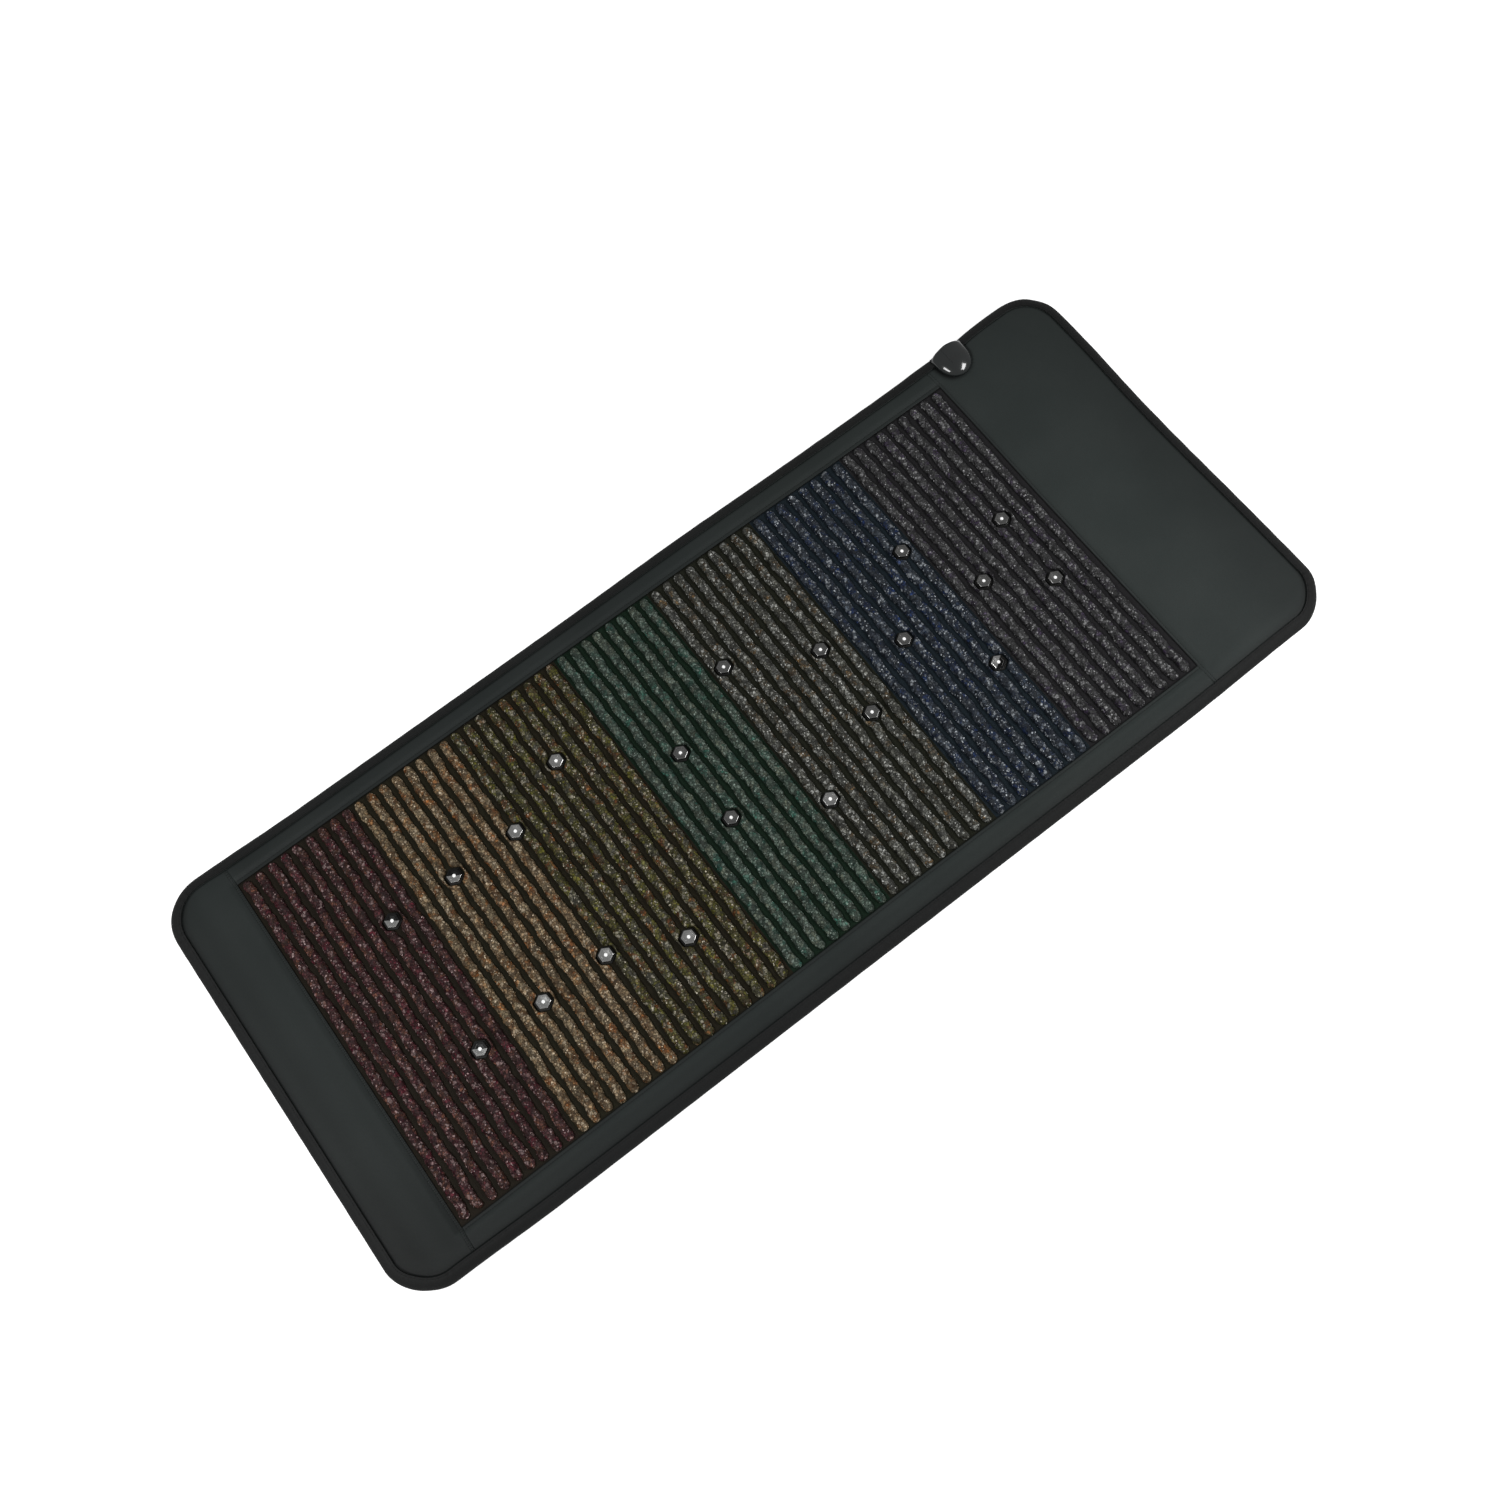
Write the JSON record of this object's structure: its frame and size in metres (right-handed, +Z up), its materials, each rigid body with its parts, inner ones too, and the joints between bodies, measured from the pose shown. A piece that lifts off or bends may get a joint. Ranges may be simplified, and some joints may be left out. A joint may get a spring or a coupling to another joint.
{
  "type": "heated crystal mat",
  "caption": "Long flat therapy mat: a padded leather border round sewn channels of coloured crushed stone, with hexagonal lights and a socket at one edge.",
  "frame": {"origin": "on the floor, under the middle of the mat's length and width", "axes": "+X along the mat towards its head end, +Y across it towards the long edge with the connector, +Z up"},
  "size_m": [1.93, 0.813, 0.039],
  "materials": {
    "leather": "matte",
    "binding_tape": "matte",
    "felt": "matte",
    "foam": "matte",
    "foil": "satin",
    "cable_jacket": "satin",
    "coil_copper": "satin",
    "circuit_board": "satin",
    "mesh_fabric": "matte",
    "gloss_black": "gloss",
    "socket_plastic": "matte",
    "screw_steel": "satin",
    "light_lens": "gloss",
    "red_stone": "satin",
    "orange_stone": "satin",
    "yellow_stone": "satin",
    "green_stone": "satin",
    "grey_stone": "satin",
    "blue_stone": "satin",
    "violet_stone": "satin"
  },
  "bodies": {
    "root": {"bottom_cover": "leather", "foot_panel": "leather", "head_panel": "leather", "side_strip_near": "leather", "side_strip_far": "leather", "edge_binding": "binding_tape", "base_felt": "felt", "heater_carrier": "felt", "cover_felt": "felt", "foam_core": "foam", "border_padding": "foam", "shielding_foil": "foil", "heater_cable": "cable_jacket", "coil_leads": "cable_jacket", "temperature_sensor": "socket_plastic", "thermal_cutout": "socket_plastic", "light_harness": "circuit_board", "connector_board": "circuit_board", "gem_backing": "mesh_fabric", "connector_upper_shell": "gloss_black", "connector_lower_shell": "gloss_black", "socket_insert": "socket_plastic", "pulse_coil_1": "coil_copper", "connector_screw_1": "screw_steel", "pulse_coil_2": "coil_copper", "connector_screw_2": "screw_steel", "pulse_coil_3": "coil_copper", "connector_screw_3": "screw_steel", "pulse_coil_4": "coil_copper", "connector_screw_4": "screw_steel", "gem_channels_red": "red_stone", "gem_channels_orange": "orange_stone", "gem_channels_yellow": "yellow_stone", "gem_channels_green": "green_stone", "gem_channels_grey": "grey_stone", "gem_channels_blue": "blue_stone", "gem_channels_violet": "violet_stone", "light_01": "light_lens", "light_02": "light_lens", "light_03": "light_lens", "light_04": "light_lens", "light_05": "light_lens", "light_06": "light_lens", "light_07": "light_lens", "light_08": "light_lens", "light_09": "light_lens", "light_10": "light_lens", "light_11": "light_lens", "light_12": "light_lens", "light_13": "light_lens", "light_14": "light_lens", "light_15": "light_lens", "light_16": "light_lens", "light_17": "light_lens", "light_18": "light_lens", "light_19": "light_lens", "light_20": "light_lens"}
  },
  "joints": []
}
